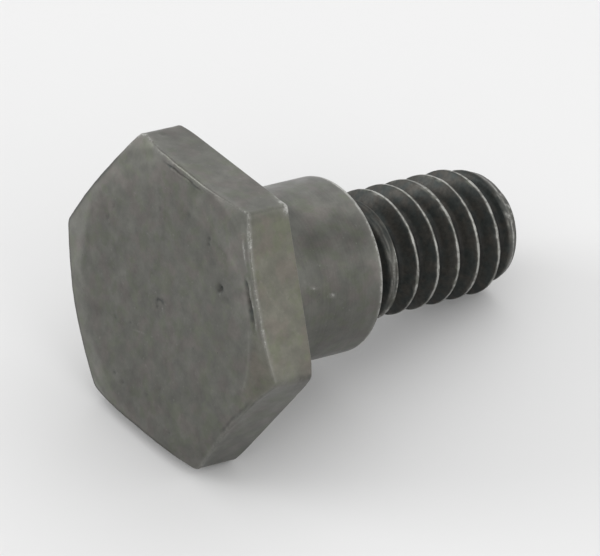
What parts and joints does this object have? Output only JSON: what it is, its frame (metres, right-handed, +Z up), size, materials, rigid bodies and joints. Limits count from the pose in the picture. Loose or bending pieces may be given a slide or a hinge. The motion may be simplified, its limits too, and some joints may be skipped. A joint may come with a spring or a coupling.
{
  "type": "shoulder screw",
  "caption": "Hex-head shoulder screw in blackened steel: plain shoulder under a chamfered head, short neck and coarse right-hand thread with a chamfered point.",
  "frame": {"origin": "centre of the bounding box, on the surface that the screw lies on", "axes": "+X runs along that surface from the head to the point and +Z is up; the screw's own axis dips 14 degrees below +X"},
  "size_m": [0.0212, 0.016, 0.0141],
  "materials": {
    "blackened_steel": "blackened and oiled, satin, with edges worn bright"
  },
  "bodies": {
    "root": {"shoulder_screw": "blackened_steel"}
  },
  "joints": []
}
